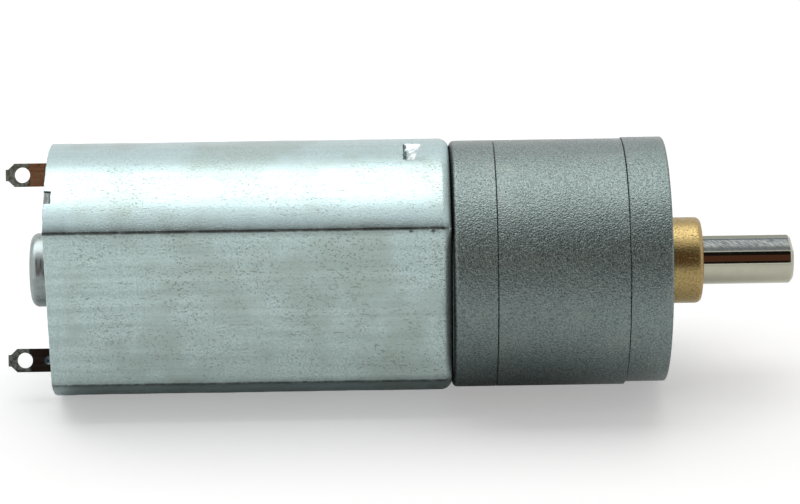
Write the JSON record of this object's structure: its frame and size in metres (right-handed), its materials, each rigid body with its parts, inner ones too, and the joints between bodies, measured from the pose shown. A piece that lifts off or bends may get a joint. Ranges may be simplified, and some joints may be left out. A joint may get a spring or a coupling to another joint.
{
  "type": "geared dc motor",
  "caption": "Brushed dc motor in a flat-sided steel can with a round spur gearbox, a bronze bush and a D-shaped output shaft, for driving wheels and joints of small robots.",
  "frame": {"origin": "centre of the gearbox front face, on the output shaft's axis", "axes": "+X along the output shaft away from the motor, +Z along the wide way of the motor can, with the can's flats facing -Y and +Y"},
  "size_m": [0.0638, 0.02, 0.0204],
  "materials": {
    "gearbox_cast": "matte",
    "zinc_plate": "satin",
    "bright_steel": "polished",
    "plated_steel": "satin",
    "sintered_bronze": "satin",
    "tinned_metal": "polished",
    "screw_steel": "satin",
    "pin_steel": "polished",
    "gear_brass": "satin",
    "ferrite": "matte",
    "black_plastic": "matte",
    "copper": "satin",
    "carbon": "matte",
    "core_steel": "satin",
    "fibre": "matte"
  },
  "bodies": {
    "motor_frame": {"front_cover": "gearbox_cast", "gear_housing": "gearbox_cast", "rear_cover": "gearbox_cast", "output_bush": "sintered_bronze", "cover_screws": "screw_steel", "motor_screws": "screw_steel", "idler_pin_a": "pin_steel", "idler_pin_b": "pin_steel", "idler_spacers": "gear_brass", "motor_can": "zinc_plate", "end_plate": "plated_steel", "front_bearing": "sintered_bronze", "rear_bearing": "sintered_bronze", "magnet_upper": "ferrite", "magnet_lower": "ferrite", "magnet_clip": "pin_steel", "brush_holder": "black_plastic", "terminal_upper": "tinned_metal", "terminal_lower": "tinned_metal", "brush_arm_upper": "copper", "brush_arm_lower": "copper", "carbon_brush_upper": "carbon", "carbon_brush_lower": "carbon"},
    "output": {"output_shaft": "bright_steel", "output_gear": "gear_brass", "output_washer": "pin_steel"},
    "third_idler": {"third_wheel": "gear_brass", "third_pinion": "pin_steel"},
    "second_idler": {"second_wheel": "gear_brass", "second_pinion": "pin_steel"},
    "first_idler": {"first_wheel": "gear_brass", "first_pinion": "pin_steel"},
    "rotor": {"motor_pinion": "gear_brass", "rotor_shaft": "pin_steel", "rotor_core": "core_steel", "rotor_windings": "copper", "rotor_insulators": "fibre", "commutator_hub": "black_plastic", "commutator_bars": "copper", "rotor_collars": "gear_brass"}
  },
  "joints": [
    {"name": "output_spin", "type": "hinge", "parent": "motor_frame", "child": "output", "pos_m": [0, 0, 0], "axis": [1, 0, 0], "continuous": true},
    {"name": "third_idler_spin", "type": "hinge", "parent": "motor_frame", "child": "third_idler", "pos_m": [0, -0.00336, 0.00194], "axis": [1, 0, 0], "continuous": true},
    {"name": "second_idler_spin", "type": "hinge", "parent": "motor_frame", "child": "second_idler", "pos_m": [0, -0.00336, -0.00194], "axis": [1, 0, 0], "continuous": true},
    {"name": "first_idler_spin", "type": "hinge", "parent": "motor_frame", "child": "first_idler", "pos_m": [0, -0.00336, 0.00194], "axis": [1, 0, 0], "continuous": true},
    {"name": "rotor_spin", "type": "hinge", "parent": "motor_frame", "child": "rotor", "pos_m": [0, 0, 0], "axis": [1, 0, 0], "continuous": true}
  ],
  "couplings": [
    {"joint": "first_idler_spin", "follows": "rotor_spin", "ratio": -0.63158},
    {"joint": "second_idler_spin", "follows": "rotor_spin", "ratio": 0.25837},
    {"joint": "third_idler_spin", "follows": "rotor_spin", "ratio": -0.1057},
    {"joint": "output_spin", "follows": "rotor_spin", "ratio": 0.04324}
  ]
}
